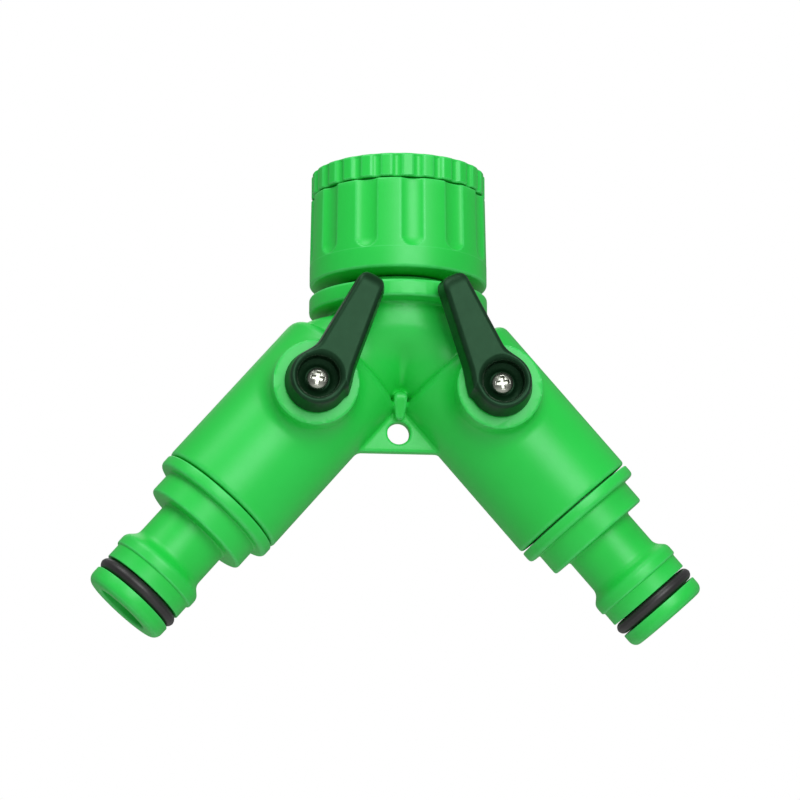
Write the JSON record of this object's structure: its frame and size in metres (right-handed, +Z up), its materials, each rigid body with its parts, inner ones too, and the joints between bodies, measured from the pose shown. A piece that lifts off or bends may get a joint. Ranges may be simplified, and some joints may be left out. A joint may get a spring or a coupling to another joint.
{
  "type": "hose splitter",
  "caption": "Two-way garden hose splitter: swivel inlet collar with a thread reducer, lever valve in each arm, quick-connect spigots.",
  "frame": {"origin": "centre of the inlet's mouth, in the plane of the reducer's top face", "axes": "+Z up along the inlet's axis, +X towards the right arm, -Y the front where the levers are"},
  "size_m": [0.1072, 0.0374, 0.0842],
  "materials": {
    "green_plastic": "bright green moulded plastic, satin",
    "lever_plastic": "near-black moulded plastic, satin",
    "black_rubber": "smooth moulded rubber",
    "white_acetal": "natural white, smooth",
    "bright_steel": "bright zinc-plated"
  },
  "bodies": {
    "housing": {"body_housing": "green_plastic", "inlet_sleeve": "green_plastic", "left_outlet_spigot": "green_plastic", "left_body_oring": "black_rubber", "left_hose_oring": "black_rubber", "left_inlet_seat": "white_acetal", "left_outlet_seat": "white_acetal", "right_outlet_spigot": "green_plastic", "right_body_oring": "black_rubber", "right_hose_oring": "black_rubber", "right_inlet_seat": "white_acetal", "right_outlet_seat": "white_acetal"},
    "collar": {"swivel_collar": "green_plastic", "collar_washer": "black_rubber"},
    "reducer_carrier": {"reducer_washer": "black_rubber"},
    "reducer": {"reducer_ring": "green_plastic"},
    "left_valve": {"left_valve_ball": "white_acetal", "left_valve_stem": "bright_steel", "left_stem_oring": "black_rubber", "left_lever": "lever_plastic", "left_lever_screw": "bright_steel"},
    "right_valve": {"right_valve_ball": "white_acetal", "right_valve_stem": "bright_steel", "right_stem_oring": "black_rubber", "right_lever": "lever_plastic", "right_lever_screw": "bright_steel"}
  },
  "joints": [
    {"name": "collar_swivel", "type": "hinge", "parent": "housing", "child": "collar", "pos_m": [0, 0, -0.012], "axis": [0, 0, 1], "continuous": true},
    {"name": "reducer_lift", "type": "slide", "parent": "collar", "child": "reducer_carrier", "axis": [0, 0, 1], "range_m": [0, 0.0091]},
    {"name": "reducer_unscrew", "type": "hinge", "parent": "reducer_carrier", "child": "reducer", "pos_m": [0, 0, 0], "axis": [0, 0, 1], "range_deg": [0, 1800]},
    {"name": "left_valve_turn", "type": "hinge", "parent": "housing", "child": "left_valve", "pos_m": [-0.01593, 0, -0.04184], "axis": [0, -1, 0], "range_deg": [0, 90]},
    {"name": "right_valve_turn", "type": "hinge", "parent": "housing", "child": "right_valve", "pos_m": [0.01593, 0, -0.04184], "axis": [0, 1, 0], "range_deg": [0, 90]}
  ],
  "couplings": [
    {"joint": "reducer_lift", "follows": "reducer_unscrew", "m_per_rad": 0.00028871}
  ]
}
